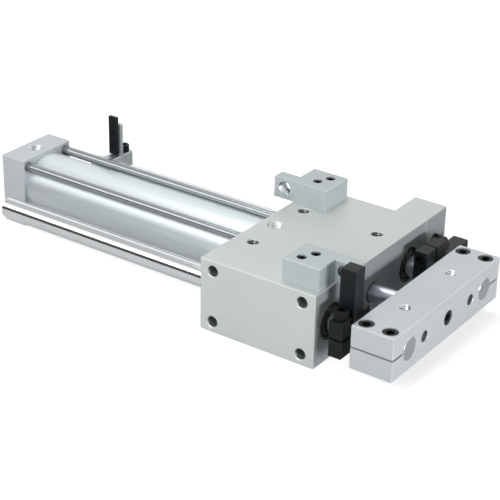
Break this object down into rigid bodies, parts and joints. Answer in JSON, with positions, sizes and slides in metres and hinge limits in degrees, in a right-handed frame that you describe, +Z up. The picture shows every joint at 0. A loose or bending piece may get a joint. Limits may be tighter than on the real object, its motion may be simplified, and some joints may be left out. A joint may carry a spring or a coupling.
{
  "type": "guided pneumatic linear actuator",
  "caption": "Guided air cylinder with a wide bearing block, tie-rod cylinder, chromed guide rods and split-clamp tooling plate, with stop collars, switch brackets and a shock absorber.",
  "frame": {"origin": "centre of the bearing block's underside", "axes": "+X the way the plate extends, +Y towards the shock absorber's side, +Z up out of the block's top"},
  "size_m": [0.4409, 0.2127, 0.0865],
  "materials": {
    "anodised_aluminium": "clear anodised, satin",
    "black_oxide_steel": "black oxide",
    "bright_steel": "ground, satin",
    "hard_chrome": "hard chromed and ground",
    "black_rubber": "matt",
    "bronze": "machined",
    "bearing_plastic": "matt"
  },
  "bodies": {
    "base": {"bearing_liners": "bearing_plastic", "bearing_shells": "bright_steel", "bearing_wipers": "black_rubber", "bracket_screws": "black_oxide_steel", "cylinder_tube": "bright_steel", "far_switch_bracket": "anodised_aluminium", "housing": "anodised_aluminium", "near_switch_bracket": "anodised_aluminium", "rear_cap": "anodised_aluminium", "retaining_rings": "black_oxide_steel", "rod_bushing": "bronze", "rod_seal": "black_rubber", "rod_wiper": "black_rubber", "seal_retainer": "bright_steel", "shock_block": "anodised_aluminium", "shock_block_screws": "black_oxide_steel", "shock_body": "black_oxide_steel", "shock_locknut": "black_oxide_steel", "shock_ring_nut": "black_oxide_steel", "tie_rod_nuts": "black_oxide_steel", "tie_rods": "bright_steel", "tube_seals": "black_rubber"},
    "carriage": {"tooling_plate": "anodised_aluminium", "near_guide_rod": "hard_chrome", "far_guide_rod": "hard_chrome", "piston_rod": "hard_chrome", "piston": "anodised_aluminium", "piston_nut": "bright_steel", "piston_seals": "black_rubber", "piston_wear_band": "bearing_plastic", "plate_clamp_screws": "black_oxide_steel", "plate_centre_screw": "black_oxide_steel", "near_stop_collar": "black_oxide_steel", "far_stop_collar": "black_oxide_steel", "stop_collar_screws": "black_oxide_steel", "target_collar": "anodised_aluminium", "target_collar_screw": "black_oxide_steel", "target_plate": "black_oxide_steel", "target_plate_screws": "black_oxide_steel"},
    "plunger": {"shock_plunger": "bright_steel"}
  },
  "joints": [
    {"name": "carriage_slide", "type": "slide", "parent": "base", "child": "carriage", "axis": [1, 0, 0], "range_m": [0, 0.2]},
    {"name": "plunger_slide", "type": "slide", "parent": "base", "child": "plunger", "axis": [1, 0, 0], "range_m": [-0.006, 0], "stiffness_N_per_m": 500}
  ]
}
